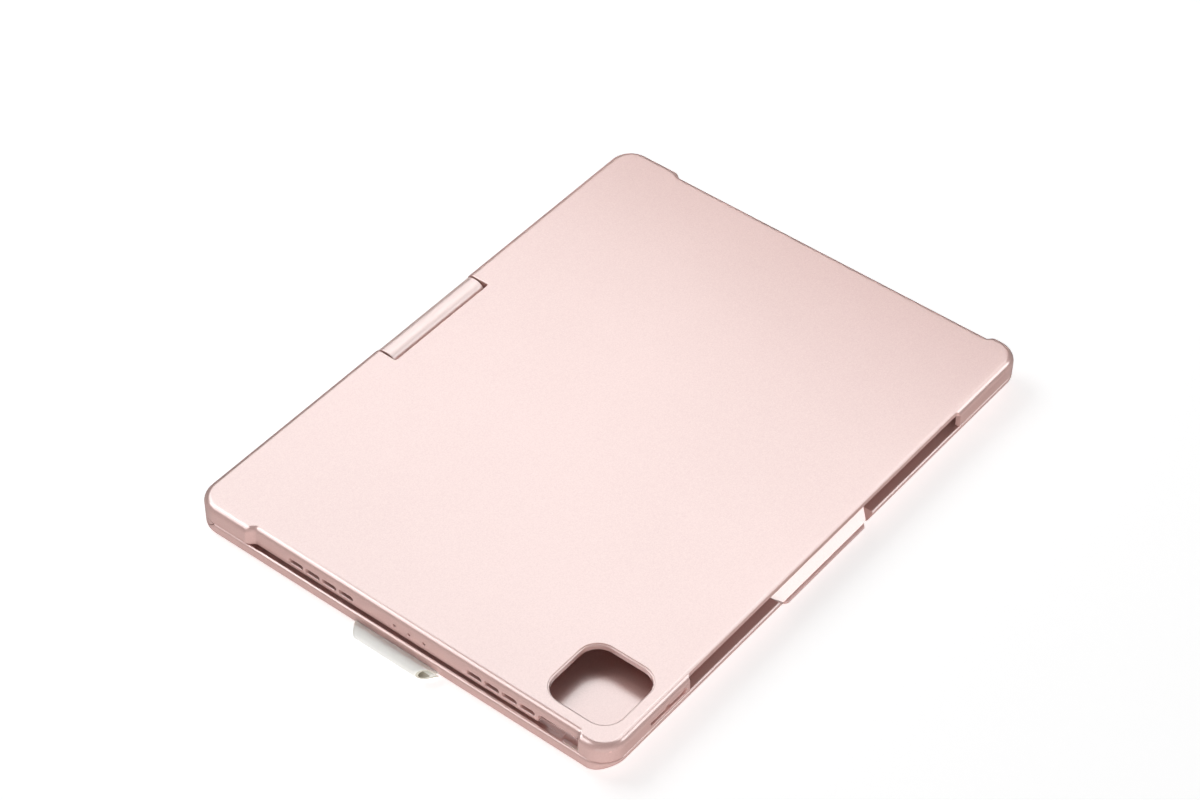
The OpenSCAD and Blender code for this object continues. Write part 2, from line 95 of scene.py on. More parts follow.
# ---------------------------------------------------------------- mesh helpers
def obj_from(name, verts, faces):
    """An object from points in mm in the case's own frame."""
    me = bpy.data.meshes.new(name)
    me.from_pydata([((x + SHIFT) * MM, y * MM, z * MM) for x, y, z in verts], [], faces)
    me.update()
    ob = bpy.data.objects.new(name, me)
    bpy.context.scene.collection.objects.link(ob)
    return ob


def loft_data(loops):
    """Quads between closed loops of equal length, with the first and last loop filled."""
    n = len(loops[0])
    verts = [p for lp in loops for p in lp]
    faces = []
    for k in range(len(loops) - 1):
        for i in range(n):
            j = (i + 1) % n
            faces.append((k * n + i, k * n + j, (k + 1) * n + j, (k + 1) * n + i))
    faces.append(tuple(reversed(range(n))))
    faces.append(tuple(range((len(loops) - 1) * n, len(loops) * n)))
    return verts, faces


def loft(name, loops):
    return obj_from(name, *loft_data(loops))


def merged(name, parts):
    """One object from several (verts, faces)."""
    verts, faces = [], []
    for v, f in parts:
        o = len(verts)
        verts += v
        faces += [tuple(i + o for i in g) for g in f]
    return obj_from(name, verts, faces)


def rr(w, d, r, n=6, cx=0.0, cy=0.0):
    """A rounded rectangle, counterclockwise."""
    r = max(min(r, w / 2, d / 2), 1e-4)
    pts = []
    for sx, sy, a0 in ((1, 1, 0), (-1, 1, 90), (-1, -1, 180), (1, -1, 270)):
        for i in range(n + 1):
            a = math.radians(a0 + 90 * i / n)
            pts.append((cx + sx * (w / 2 - r) + r * math.cos(a), cy + sy * (d / 2 - r) + r * math.sin(a)))
    return pts


AXES = {"z": lambda u, v, p: (u, v, p), "x": lambda u, v, p: (p, u, v), "y": lambda u, v, p: (v, p, u)}


def prism_data(axis, cu, cv, w, h, r, stations, n=6):
    """A rounded-rectangle prism along an axis; each station is (position, growth).
    (u, v) is (x, y) along z, (y, z) along x and (z, x) along y."""
    put = AXES[axis]
    if stations[0][0] > stations[-1][0]:
        stations = stations[::-1]
    loops = [[put(u, v, p) for u, v in rr(w + 2 * g, h + 2 * g, r + g, n, cu, cv)] for p, g in stations]
    return loft_data(loops)


def flare(surface, r, out, n=4):
    """Stations of a cutter's mouth that leaves a rounded edge of radius r; out is +1 or -1."""
    st = []
    for i in range(n + 1):
        a = math.radians(90 * i / n)
        st.append((surface - out * r * (1 - math.sin(a)), r * (1 - math.cos(a))))
    return st + [(surface + out * (r + 1), r)]


def arc(cx, cy, r, a0, a1, n):
    """n + 1 points on a circle from angle a0 to a1, in degrees."""
    return [(cx + r * math.cos(math.radians(a0 + (a1 - a0) * i / n)),
             cy + r * math.sin(math.radians(a0 + (a1 - a0) * i / n))) for i in range(n + 1)]


def smooth(t):
    """A soft step from 0 to 1."""
    t = max(0.0, min(1.0, t))
    return t * t * (3 - 2 * t)


def box_data(lo, hi):
    (x0, y0, z0), (x1, y1, z1) = lo, hi
    v = [(x, y, z) for z in (z0, z1) for x, y in ((x0, y0), (x1, y0), (x1, y1), (x0, y1))]
    return v, [(3, 2, 1, 0), (4, 5, 6, 7), (0, 1, 5, 4), (1, 2, 6, 5), (2, 3, 7, 6), (3, 0, 4, 7)]


def rod_data(r, x0, x1, n=48):
    """A rod of radius r about the hinge axis."""
    return loft_data([[(x, AXIS_Y + r * math.cos(2 * math.pi * i / n),
                        AXIS_Z + r * math.sin(2 * math.pi * i / n)) for i in range(n)] for x in (x0, x1)])


def round_data(cx, cy, rings, n=32):
    """A turned part about a vertical axis; rings are (radius, z)."""
    return loft_data([[(cx + r * math.cos(2 * math.pi * i / n), cy + r * math.sin(2 * math.pi * i / n), z)
                       for i in range(n)] for r, z in rings])


def inset(profile, d):
    """Moves a closed counterclockwise outline inwards by d."""
    n = len(profile)
    out = []
    for i, p in enumerate(profile):
        a, b = Vector(profile[i - 1]), Vector(profile[(i + 1) % n])
        p = Vector(p)
        e1, e2 = (p - a).normalized(), (b - p).normalized()
        n1, n2 = Vector((-e1.y, e1.x)), Vector((-e2.y, e2.x))
        m = (n1 + n2).normalized()
        out.append(tuple(p + m * d / max(m.dot(n1), 0.5)))
    return out


def boolean(ob, parts, how="DIFFERENCE"):
    """Cuts the parts, each (verts, faces), out of ob, or joins them to it, and applies it."""
    cutter = merged(ob.name + "_cut", parts)
    turn_outwards(cutter)
    mod = ob.modifiers.new("cut", "BOOLEAN")
    mod.operation, mod.solver, mod.object = how, "EXACT", cutter
    apply_modifiers(ob)
    bpy.data.objects.remove(cutter)


def apply_modifiers(ob):
    dg = bpy.context.evaluated_depsgraph_get()
    me = bpy.data.meshes.new_from_object(ob.evaluated_get(dg))
    old = ob.data
    ob.modifiers.clear()
    ob.data = me
    bpy.data.meshes.remove(old)


def turn_outwards(ob):
    """Makes all face normals point outwards."""
    bm = bmesh.new()
    bm.from_mesh(ob.data)
    bmesh.ops.recalc_face_normals(bm, faces=bm.faces)
    bm.to_mesh(ob.data)
    bm.free()


def clean(ob, angle=32, weighted=True):
    """Joins doubled points, shades smooth below the angle, and keeps flats flat."""
    bm = bmesh.new()
    bm.from_mesh(ob.data)
    bmesh.ops.remove_doubles(bm, verts=bm.verts, dist=2e-6)
    bmesh.ops.dissolve_degenerate(bm, edges=bm.edges, dist=1e-6)
    limit = math.radians(angle)
    for f in bm.faces:
        f.smooth = True
    for e in bm.edges:
        e.smooth = len(e.link_faces) == 2 and e.calc_face_angle(0) < limit
    bm.to_mesh(ob.data)
    bm.free()
    if weighted:
        mod = ob.modifiers.new("normals", "WEIGHTED_NORMAL")
        mod.mode, mod.weight, mod.keep_sharp = "FACE_AREA", 80, True
        apply_modifiers(ob)


def piece(ob, body, slot, material, *replaced, angle=32, weighted=True, fix=True):
    """Finishes an object and ties it to the frame."""
    if fix:
        turn_outwards(ob)
    clean(ob, angle, weighted)
    ob.data.materials.clear()
    ob.data.materials.append(material)
    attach(ob, body)
    if replaced:
        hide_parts(*replaced)
    return ob


# ---------------------------------------------------------------- materials
def add_node(tree, kind, **values):
    """A shader node with some sockets set; an underscore in a key stands for a space."""
    node = tree.nodes.new("ShaderNode" + kind)
    for key, value in values.items():
        node.inputs[key.replace("_", " ")].default_value = value
    return node


def material(name, color, color2=None, rough=0.5, rough2=None, scale=900.0, bump=0.0, bump_scale=None,
             detail=2.0, edge=0.0, stretch=(1, 1, 1), **sockets):
    """A procedural material: noise drives colour, roughness and bump, and a bevel node rounds small edges.
    bump and edge are in mm."""
    m = bpy.data.materials.new(name)
    m.use_nodes = True
    tree = m.node_tree
    bsdf, link = tree.nodes["Principled BSDF"], tree.links.new

    def noise(vector, scale, detail):
        node = add_node(tree, "TexNoise", Scale=scale, Detail=detail)
        link(vector, node.inputs["Vector"])
        return node.outputs["Fac"]

    place = add_node(tree, "TexCoord").outputs["Object"]
    mapping = add_node(tree, "Mapping", Scale=stretch)
    link(place, mapping.inputs["Vector"])
    grain, broad = noise(mapping.outputs["Vector"], scale, detail), noise(place, 9.0, 3)
    share = add_node(tree, "Math")
    share.operation = "MULTIPLY"
    share.inputs[1].default_value = 0.65
    link(grain, share.inputs[0])
    both = add_node(tree, "Math")              # 0.35 of the broad noise and 0.65 of the grain
    both.operation = "MULTIPLY_ADD"
    both.inputs[1].default_value = 0.35
    link(broad, both.inputs[0])
    link(share.outputs[0], both.inputs[2])

    contrast = add_node(tree, "MapRange", From_Min=0.32, From_Max=0.68)
    link(both.outputs[0], contrast.inputs["Value"])
    mix = add_node(tree, "Mix")
    mix.data_type = "RGBA"
    mix.inputs["A"].default_value = (*color, 1)
    mix.inputs["B"].default_value = (*(color2 or [c * 0.9 for c in color]), 1)
    link(contrast.outputs["Result"], mix.inputs["Factor"])
    link(mix.outputs["Result"], bsdf.inputs["Base Color"])
    gloss = add_node(tree, "MapRange", To_Min=rough,
                     To_Max=rough2 if rough2 is not None else min(rough + 0.06, 1))
    link(both.outputs[0], gloss.inputs["Value"])
    link(gloss.outputs["Result"], bsdf.inputs["Roughness"])

    normal = None
    if edge:
        bevel = add_node(tree, "Bevel", Radius=edge * MM)
        bevel.samples = 4
        normal = bevel.outputs["Normal"]
    if bump:
        relief = add_node(tree, "Bump", Strength=1, Distance=bump * MM)
        link(noise(mapping.outputs["Vector"], bump_scale, 3) if bump_scale else grain, relief.inputs["Height"])
        if normal:
            link(normal, relief.inputs["Normal"])
        normal = relief.outputs["Normal"]
    if normal:
        link(normal, bsdf.inputs["Normal"])
    for key, value in sockets.items():
        bsdf.inputs[key.replace("_", " ")].default_value = value
    return m


ROSE = dict(color=(0.81, 0.52, 0.48), color2=(0.72, 0.44, 0.40), rough=0.30, rough2=0.44, scale=2300,
            detail=3, bump=0.013, bump_scale=2700, Metallic=0.2, IOR=1.5, Coat_Weight=1.0,
            Coat_Roughness=0.21, Coat_IOR=2.65)
# The knuckle's rose is lighter than the shell's: painted light that brightens the knuckle. Its coat is also
# rougher.
KNUCKLE_PAINTED_LIGHT_ROSE = dict(ROSE, color=(0.90, 0.66, 0.62), color2=(0.84, 0.60, 0.56), Coat_Roughness=0.32)
INSIDE_ROSE = dict(ROSE, rough=0.5, rough2=0.6, Coat_Weight=0.3, Coat_Roughness=0.4, Coat_IOR=1.6)
shell = material("rose_satin_paint", edge=0.22, **ROSE)
shell_painted_light = material("rose_satin_knuckle_painted_light", edge=0.22, **KNUCKLE_PAINTED_LIGHT_ROSE)
shell_inside = material("rose_matt_inside", edge=0.15, **INSIDE_ROSE)
steel = material("brushed_steel", (0.60, 0.61, 0.63), rough=0.28, rough2=0.42, scale=700,
                 stretch=(0.06, 1, 1), bump=0.002, edge=0.1, Metallic=1.0)
screw_steel = material("screw_steel", (0.55, 0.55, 0.57), rough=0.22, rough2=0.34, scale=1500, bump=0.001,
                       edge=0.08, Metallic=1.0)
rubber = material("dark_rubber", (0.055, 0.055, 0.057), (0.04, 0.04, 0.042), rough=0.72, rough2=0.86,
                  scale=2500, bump=0.008, edge=0.2)
dark = material("dark_plastic", (0.07, 0.07, 0.075), (0.055, 0.055, 0.06), rough=0.5, rough2=0.6,
                scale=2200, bump=0.004, edge=0.12)
brass = material("bush_brass", (0.70, 0.52, 0.24), rough=0.3, rough2=0.42, scale=900, bump=0.002, edge=0.1,
                 Metallic=1.0)
keycap = material("key_plastic", (0.83, 0.655, 0.625), (0.80, 0.62, 0.59), rough=0.46, rough2=0.56,
                  scale=3000, bump=0.004)
pad_glass = material("touchpad_glass", (0.80, 0.61, 0.585), (0.78, 0.59, 0.565), rough=0.26, rough2=0.32,
                     scale=2600, bump=0.0008, Coat_Weight=0.4, Coat_Roughness=0.15)
film = material("layer_film", (0.78, 0.82, 0.80), rough=0.4, scale=500, bump=0.002, edge=0.05)
dome = material("dome_rubber", (0.80, 0.80, 0.79), rough=0.6, scale=1500, bump=0.004, edge=0.1)
foil = material("battery_foil", (0.66, 0.67, 0.69), (0.58, 0.59, 0.61), rough=0.25, rough2=0.5, scale=160,
                detail=5, bump=0.05, edge=0.3, Metallic=1.0)
board = material("board_lacquer", (0.03, 0.18, 0.10), (0.02, 0.13, 0.07), rough=0.3, rough2=0.45,
                 scale=900, bump=0.01, edge=0.08)
ribbon = material("ribbon_film", (0.72, 0.47, 0.16), (0.62, 0.38, 0.12), rough=0.3, rough2=0.4, scale=1400,
                  stretch=(1, 0.04, 1), bump=0.006)
magnet = material("magnet_plating", (0.48, 0.49, 0.51), rough=0.2, rough2=0.3, scale=600, bump=0.002,
                  edge=0.15, Metallic=1.0)
pipe = material("light_pipe", (0.92, 0.94, 0.97), (0.88, 0.90, 0.94), rough=0.15, rough2=0.22, scale=2000,
                Transmission_Weight=0.5, IOR=1.49)
soft_clear = material("soft_clear_sheet", (0.93, 0.91, 0.87), (0.90, 0.88, 0.84), rough=0.34, rough2=0.44,
                      scale=700, bump=0.01, IOR=1.45, Subsurface_Weight=0.25,
                      Subsurface_Radius=(1, 1, 0.9), Subsurface_Scale=0.001)
# a darker colour for the loop's inner faces: painted shade inside the loop
loop_painted_shade = material("soft_sheet_painted_shade", (0.60, 0.56, 0.47), (0.54, 0.50, 0.42), rough=0.5, rough2=0.6,
                       scale=700, bump=0.01)
soft_pink = material("soft_bumper", (0.80, 0.60, 0.56), (0.77, 0.57, 0.53), rough=0.5, rough2=0.6,
                     scale=1800, bump=0.004, Subsurface_Weight=0.2, Subsurface_Scale=0.001)

# ---------------------------------------------------------------- lid shell
REAR_TURN, FRONT_TURN = (71.6, 67.4), (-84.6, -81.4)     # where the recess begins and is full, along Y


def recess(y):
    """How far the recess in the short sides has begun at y, from 0 to 1."""
    return min(smooth((REAR_TURN[0] - y) / (REAR_TURN[0] - REAR_TURN[1])),
               smooth((y - FRONT_TURN[0]) / (FRONT_TURN[1] - FRONT_TURN[0])))


def plan_points():
    """(outer point, inner point, recess share) round the lid, counterclockwise from the front right."""
    ys = [-86.2, -85.4]
    ys += [FRONT_TURN[0] + (FRONT_TURN[1] - FRONT_TURN[0]) * i / 12 for i in range(13)]
    ys += [-70, -50, -30, -10, 10, 30, 50, 62]
    ys += [REAR_TURN[1] + (REAR_TURN[0] - REAR_TURN[1]) * i / 14 for i in range(15)]
    ys += [75, 80, 84]
    n = 16
    pts = []

    def corner(sx, sy, a0):
        for i in range(n + 1):
            a = math.radians(a0 + 90 * i / n)
            c, s = math.cos(a), math.sin(a)
            cx, cy = sx * (SIDE - CORNER), sy * (BACK - CORNER)
            pts.append(((cx + CORNER * c, cy + CORNER * s),
                        (cx + (CORNER - EDGE_R) * c, cy + (CORNER - EDGE_R) * s), 0.0))

    def side(s, order):
        for y in order:
            m = recess(y)
            pts.append(((s * (SIDE - RECESS * m), y), (s * (SIDE - EDGE_R - 1.9 * m), y), m))

    def run(y, order):
        for x in order:
            pts.append(((x, y), (x, y - math.copysign(EDGE_R, y)), 0.0))

    corner(1, -1, 270)
    side(1, ys)
    corner(1, 1, 0)
    run(BACK, (60, 20, -20, -60))
    corner(-1, 1, 90)
    side(-1, ys[::-1])
    corner(-1, -1, 180)
    run(FRONT, (-60, -20, 20, 60))
    return pts


def lid_body():
    pts = plan_points()
    fine = 2.4                                 # rounding of the recess's upper edge

    def slope(i):
        """Cosine of the outline's slant at point i."""
        a, b = Vector(pts[i - 1][0]), Vector(pts[(i + 1) % len(pts)][0])
        d = (b - a).normalized()
        return max(abs(d.y), 0.3)

    def height(i, w):
        (ox, oy), (ix, iy), m = pts[i]
        dist = math.hypot(ox - ix, oy - iy) * w
        from_main = dist + RECESS * m
        z = TOP - EDGE_R + math.sqrt(max(EDGE_R ** 2 - max(0, EDGE_R - from_main) ** 2, 0))
        d = min(dist * slope(i), fine)
        return z - m * (fine - math.sqrt(fine ** 2 - (fine - d) ** 2))

    def loop(w, z=None):
        out = []
        for i, ((ox, oy), (ix, iy), m) in enumerate(pts):
            out.append((ox + (ix - ox) * w, oy + (iy - oy) * w, height(i, w) if z is None else z))
        return out

    def low_loop(d, z):
        out = []
        for (ox, oy), (ix, iy), m in pts:
            w = d / math.hypot(ox - ix, oy - iy)
            out.append((ox + (ix - ox) * w, oy + (iy - oy) * w, z))
        return out

    foot = LID_Z + 0.1                         # the seam reads as a fine dark line
    loops = [low_loop(0.35, foot), low_loop(0.1, foot + 0.1), low_loop(0, foot + 0.35)]
    steps = 12
    loops += [loop(1 - math.cos(math.radians(90 * k / steps))) for k in range(steps + 1)]
    return loft("lid_shell_skin", loops)


lid = lid_body()
turn_outwards(lid)
boolean(lid, [prism_data("z", 0, (POCKET_FRONT + POCKET_BACK) / 2, 248, 178.9, 2.5,
                         [(-2, 0), (12.2, 0), (12.6, -0.11), (12.88, -0.4), (POCKET_TOP, -0.8)])])
# knuckle's notch, hinge channels, shaft holes
boolean(lid, [prism_data("z", 0, 106.5, NOTCH_W, 40, 0.9, [(-2, 0)] + flare(TOP, 0.4, 1))])
boolean(lid, [prism_data("z", s * (28.8 + 116) / 2, (87.0 + 95.3) / 2, 87.2, 8.3, 1.5,
                         [(-2, 0), (POCKET_TOP, 0)]) for s in (-1, 1)])
boolean(lid, [rod_data(1.9, -30.3, 30.3)])
# front cut-out: through the plate's edge, and the opening into the pocket below it
boolean(lid, [prism_data("z", 1.5, -105.4, 167, 20, 1.6, [(-2, 0)] + flare(15.12, 0.35, 1))])
boolean(lid, [prism_data("z", 1.5, -103.9, 167, 20, 0.8, [(-2, 0), (POCKET_TOP, 0)])])
# camera window: a deep, softly rounded opening in a shallow rounded step
WINDOW, STEP_Z = (-103.8, -74.9), TOP - 0.42
boolean(lid, [prism_data("z", *WINDOW, 30, 30, 8, [(-2, 0)] + flare(STEP_Z, 0.5, 1)[:-1]
                         + [(TOP - 0.4, 0.52), (TOP + 2, 0.52)], n=14)])
boolean(lid, [prism_data("z", *WINDOW, 31.4, 31.4, 8.7, [(STEP_Z, 0)] + flare(TOP, 0.22, 1), n=14)])
# speaker slots, microphone holes, charging cut-out
face = SIDE - RECESS
cuts = []
for s in (-1, 1):
    through = [(s * INSIDE_X, 0)] + flare(s * face, 0.3, s)
    for t in (-1, 1):
        for i in range(4):
            cuts.append(prism_data("x", TABLET_Y + t * (29.9 + 8 * i), SLOT_Z, 6.8, 2.1, 1.05, through, n=8))
for i in (-1, 0, 1):
    cuts.append(prism_data("x", TABLET_Y + 6.9 * i, SLOT_Z + 0.3, 1.3, 1.3, 0.65,
                           [(-INSIDE_X, 0)] + flare(-face, 0.22, -1), n=6))
cuts.append(prism_data("x", TABLET_Y, SLOT_Z, 12.4, 4.8, 2.4, [(INSIDE_X, 0)] + flare(face, 0.4, 1), n=10))
boolean(lid, cuts)
# power button notch
boolean(lid, [prism_data("x", -73.7, 6.4, 18.6, 10, 1.8, [(-122.8, 0)] + flare(-face, 0.45, -1), n=6)])
# volume recess: a shallow mouth, and two openings for the buttons beside the bridge
boolean(lid, [prism_data("y", VOLUME_Z, VOLUME_X, 2.9, 20.4, 1.45, [(-95.5, 0)] + flare(FRONT, 0.18, -1), n=8)])
boolean(lid, [prism_data("y", VOLUME_Z, VOLUME_X + s * BUTTON_STEP, 2.8, 9.5, 1.38, [(-97, 0), (-92, 0)], n=8)
              for s in (-1, 1)])
# corner lips that hold the tablet
lips = [box_data((s * POCKET_X - (0.5 if s < 0 else 0.6), y, LID_Z + 0.02),
                 (s * POCKET_X + (0.6 if s < 0 else 0.5), y + 8, LID_Z + 0.6))
        for s in (-1, 1) for y in (-92, 64)]
boolean(lid, lips, "UNION")
piece(lid, "lid", "shell", shell, "lid_shell", fix=False)
lid.data.materials.append(shell_inside)
for poly in lid.data.polygons:
    c = poly.center / MM
    if abs(c.x - SHIFT) < POCKET_X + 0.02 and -95.0 < c.y < 84.0 and c.z < POCKET_TOP + 0.02:
        poly.material_index = 1


def barrel(name, s, node):
    """Round cover under the lid's rear edge, cut by the case's corners."""
    x0, x1 = 27.3, 129.0
    n = 40
    loops = []
    for x, q in ((x0, BARREL_R - 0.25), (x0 + 0.07, BARREL_R - 0.07), (x0 + 0.25, BARREL_R), (x1, BARREL_R)):
        loops.append([(s * x, AXIS_Y + q * math.cos(2 * math.pi * i / n),
                       AXIS_Z + q * math.sin(2 * math.pi * i / n)) for i in range(n)])
    ob = loft(name, loops)
    turn_outwards(ob)
    boolean(ob, [prism_data("z", 0, 0, 2 * SIDE, 2 * BACK, CORNER, [(0, 0), (LID_Z, 0)], n=16)], "INTERSECT")
    boolean(ob, [rod_data(BARREL_R - 0.9, *sorted((s * 28.3, s * 124)))])
    piece(ob, "lid", "shell", shell, node, fix=False)


barrel("barrel_cover_left_skin", -1, "lid_barrel_cover_left")
barrel("barrel_cover_right_skin", 1, "lid_barrel_cover_right")

# ---------------------------------------------------------------- volume buttons
for s, node in ((-1, "volume_up_button"), (1, "volume_down_button")):
    face_stations = [(-96.4, -0.55), (-96.39, -0.4), (-96.33, -0.2), (-96.2, -0.05), (-96.05, 0), (-94.25, 0)]
    cap = prism_data("y", VOLUME_Z, VOLUME_X + s * 5.1, 1.75, 8.5, 0.87, face_stations, n=8)
    flange = prism_data("y", VOLUME_Z, VOLUME_X + s * BUTTON_STEP, 2.6, 9.3, 1.28,
                        [(-94.8, -0.1), (-94.7, 0), (-94.3, 0)], n=5)
    button = merged(node + "_skin", [cap, flange])
    piece(button, node.replace("_button", ""), "shell", shell, node)

# ---------------------------------------------------------------- base frame
BASE_R, RIM_R = 2.7, 0.9                       # rounding under the sides, and of the rim's upper edge


def base_loop(z, extra=0.0):
    """The base's outline at a height: round under the sides and the rear, cut back under the front."""
    side = BASE_R - math.sqrt(max(BASE_R * BASE_R - max(0, FOOT_H + BASE_R - z) ** 2, 0)) + extra
    x = FOOT_H + 4.1 - z
    front = min(0.5 * (x + math.sqrt(x * x + 0.5)) - 0.06, 4.1) if x > -1.6 else 0.0
    front = max(front, 0.0) + extra
    pts = []
    n = 16
    for sx, sy, a0 in ((1, -1, 270), (1, 1, 0), (-1, 1, 90), (-1, -1, 180)):
        for i in range(n + 1):
            a = math.radians(a0 + 90 * i / n)
            ry = CORNER - (front if sy < 0 else side)
            pts.append((sx * (SIDE - CORNER) + (CORNER - side) * math.cos(a),
                        sy * (BACK - CORNER) + ry * math.sin(a), z))
    return pts


def base_body():
    heights = [FOOT_H + BASE_R * (1 - math.cos(math.radians(90 * k / 10))) for k in range(11)]
    heights += [4.0, 4.3, 4.6, 4.9, 5.2, 5.6, 6.0]
    loops = [base_loop(z) for z in heights]
    for k in range(9):
        a = math.radians(90 * k / 8)
        loops.append(base_loop(RIM_Z - RIM_R * (1 - math.sin(a)), RIM_R * (1 - math.cos(a))))
    return loft("base_frame_skin", loops)


def lip_data():
    """Bar under the thumb scoop, whose ends slant back into the front."""
    loops = []
    for x, f in ((-27.3, -93.4), (-23.6, -96.98), (23.6, -96.98), (27.3, -93.4)):
        loops.append([(x, -90.8, 1.02), (x, f + 1.7, 1.02), (x, f + 0.25, 2.45), (x, f, 2.8), (x, f, 3.3),
                      (x, -90.8, 4.2)][::-1])
    return loft_data(loops)


def scoop_data():
    """Cutter of the thumb scoop, a sloping face with slanted ends."""
    tilt = 3.5 / 4.5
    v = []
    for s in (-1, 1):
        for y, z in ((-92.5 + 2 / tilt, 9), (-101, RIM_Z - 8.5 * tilt), (-101, 9)):
            x = 28.8 + (z - RIM_Z) * 1.15
            v.append((s * x, y, z))
    return v, [(0, 1, 2), (3, 5, 4), (0, 3, 4, 1), (1, 4, 5, 2), (2, 5, 3, 0)]


def groove_data(s, inner, z0):
    """A groove in the rim below the lid's recess; its outer wall runs slightly inwards towards the front."""
    rear, front = SIDE - 0.95, SIDE - 1.45
    plan = [(s * inner, 69.1), (s * inner, -74.6), (s * (inner + 0.4), -75), (s * (front - 0.4), -75),
            (s * front, -74.6), (s * rear, 69.1), (s * (rear - 0.4), 69.5), (s * (inner + 0.4), 69.5)]
    return loft_data([[(x, y, z) for x, y in plan] for z in (z0, 9)])


base = base_body()
turn_outwards(base)
boolean(base, [lip_data()], "UNION")
# the inside, the deck's seat and the bottom plate's seat
boolean(base, [prism_data("z", 0, (-85.5 + 81.3) / 2, 239.8, 166.8, 2, [(-1, 0), (9, 0)])])
boolean(base, [prism_data("z", 0, DECK_Y, 243, DECK_D, 3, [(4.5, 0)] + flare(RIM_Z, 0.45, 1))])
boolean(base, [prism_data("z", 0, PLATE_Y, 247.8, PLATE_D + 0.2, 3, [(2.0, 0)] + flare(FOOT_H, 0.2, -1))])
# trough round the hinge axis, with its ledge, and the knuckle's seat
boolean(base, [rod_data(TROUGH_R, -140, 140, n=72)])
boolean(base, [prism_data("z", 0, 102.1, 280, 20, 0.4, [(LEDGE_Z, 0), (9, 0)])])
boolean(base, [prism_data("z", 0, 106.2, NOTCH_W, 40, 0.5, [(LEDGE_Z, 0), (9, 0)])])
boolean(base, [scoop_data()])
boolean(base, [groove_data(-1, 123.0, 4.0), groove_data(1, 125.4, 6.0)])
# sockets: stylus loop's tab, charging port, power switch, knuckle screws
boolean(base, [box_data((-130, -19.5, 2.1), (-123.8, 16, 3.3))])
boolean(base, [prism_data("x", -24, PORT_Z, 9.2, 3.4, 1.7, [(118, 0)] + flare(SIDE, 0.3, 1), n=8)])
boolean(base, [prism_data("x", -40.75, PORT_Z, 7.5, 2.2, 0.6, [(SIDE - 1.2, 0)] + flare(SIDE, 0.25, 1), n=5)])
boolean(base, [prism_data("z", x, AXIS_Y, 4, 4, 2, [(2.0, 0)] + flare(FOOT_H, 0.2, -1), n=8)
               for x in (-15, 15)])
piece(base, "base", "shell", shell, "base_frame", fix=False)

# ---------------------------------------------------------------- knuckle
y0 = AXIS_Y - KNUCKLE_R
profile = [(y0, LEDGE_Z), (y0, 7.5)] + arc(AXIS_Y, AXIS_Z, KNUCKLE_R, 180, 90, 18)
profile += arc(BACK - 3.8, TOP - 3.8, 3.8, 90, 0, 14) + [(BACK, 7.5), (BACK, LEDGE_Z)]
profile = profile[::-1]
knuckle = loft("hinge_knuckle_skin", [[(x, y, z) for y, z in inset(profile, d)] for x, d in (
    (-26.5, 0.4), (-26.38, 0.12), (-26.1, 0), (26.1, 0), (26.38, 0.12), (26.5, 0.4))])
turn_outwards(knuckle)
boolean(knuckle, [rod_data(3.0, -30, 30)])
# the knuckle takes the lighter rose, painted light
piece(knuckle, "base", "shell", shell_painted_light, "hinge_knuckle", fix=False)

# ---------------------------------------------------------------- keyboard rows
ROWS = [(KEYS_BACK, FN_D, [15 / 14] * 14),
        (KEYS_BACK - FN_D, ROW, [1] * 13 + [2]),
        (KEYS_BACK - FN_D - ROW, ROW, [1.5] + [1] * 12 + [1.5]),
        (KEYS_BACK - FN_D - 2 * ROW, ROW, [1.75] + [1] * 11 + [2.25]),
        (KEYS_BACK - FN_D - 3 * ROW, ROW, [2.25] + [1] * 10 + [2.75]),
        (KEYS_BACK - FN_D - 4 * ROW, ROW, [1, 1, 1, 1.25, 5.5, 1.25, 1, 1, 1, 1])]
SPACE, LEFT, UPDOWN = 4, 7, 8                   # columns of the last row
KEYS_X = -7.5 * UNIT


def key_boxes():
    """(row, column, middle x, middle y, width, depth) of every key; the up and down keys share a place."""
    out = []
    for r, (y, d, widths) in enumerate(ROWS):
        x = KEYS_X
        for c, w in enumerate(widths):
            cx = x + w * UNIT / 2
            if (r, c) == (5, UPDOWN):
                half = ROW / 2 + GAP / 2 - 0.2 - GAP
                out.append((r, c, cx, y - GAP / 2 - half / 2, w * UNIT - GAP, half))
                out.append((r, c, cx, y - d + GAP / 2 + half / 2, w * UNIT - GAP, half))
            else:
                out.append((r, c, cx, y - d / 2, w * UNIT - GAP, d - GAP))
            x += w * UNIT
    return out


def cap_data(cx, cy, w, d, dish=0.14):
    """A keycap: straight skirt, rounded shoulder and a dished face."""
    loops = []

    def ring(z, grow, r):
        loops.append([(x, y, z) for x, y in rr(w + 2 * grow, d + 2 * grow, r, 5, cx, cy)])

    ring(CAP_Z, 0, 1.4)
    ring(5.7, 0, 1.4)
    for k in range(1, 6):
        a = math.radians(90 * k / 5)
        ring(5.98 + 0.42 * math.sin(a), -0.06 - 0.42 * (1 - math.cos(a)), 1.3)
    for t in (0.72, 0.45, 0.2):
        gx, gy = -(1 - t) * (w / 2 - 0.9) - 0.48, -(1 - t) * (d / 2 - 0.9) - 0.48
        pts = rr(w + 2 * gx, d + 2 * gy, 1.3 * t + 0.05, 5, cx, cy)
        loops.append([(x, y, CAP_TOP - dish * (1 - t * t)) for x, y in pts])
    return loft_data(loops)


GROUPS = [("function_keys", lambda r, c: r == 0), ("number_row_keys", lambda r, c: r == 1),
          ("top_letter_keys", lambda r, c: r == 2), ("home_letter_keys", lambda r, c: r == 3),
          ("lower_letter_keys", lambda r, c: r == 4),
          ("modifier_keys", lambda r, c: r == 5 and c < LEFT and c != SPACE),
          ("space_bar", lambda r, c: r == 5 and c == SPACE), ("arrow_keys", lambda r, c: r == 5 and c >= LEFT)]
KEYS = key_boxes()
for node, test in GROUPS:
    ob = merged(node + "_skin", [cap_data(*k[2:]) for k in KEYS if test(k[0], k[1])])
    piece(ob, node, "keycap", keycap, node, weighted=False)

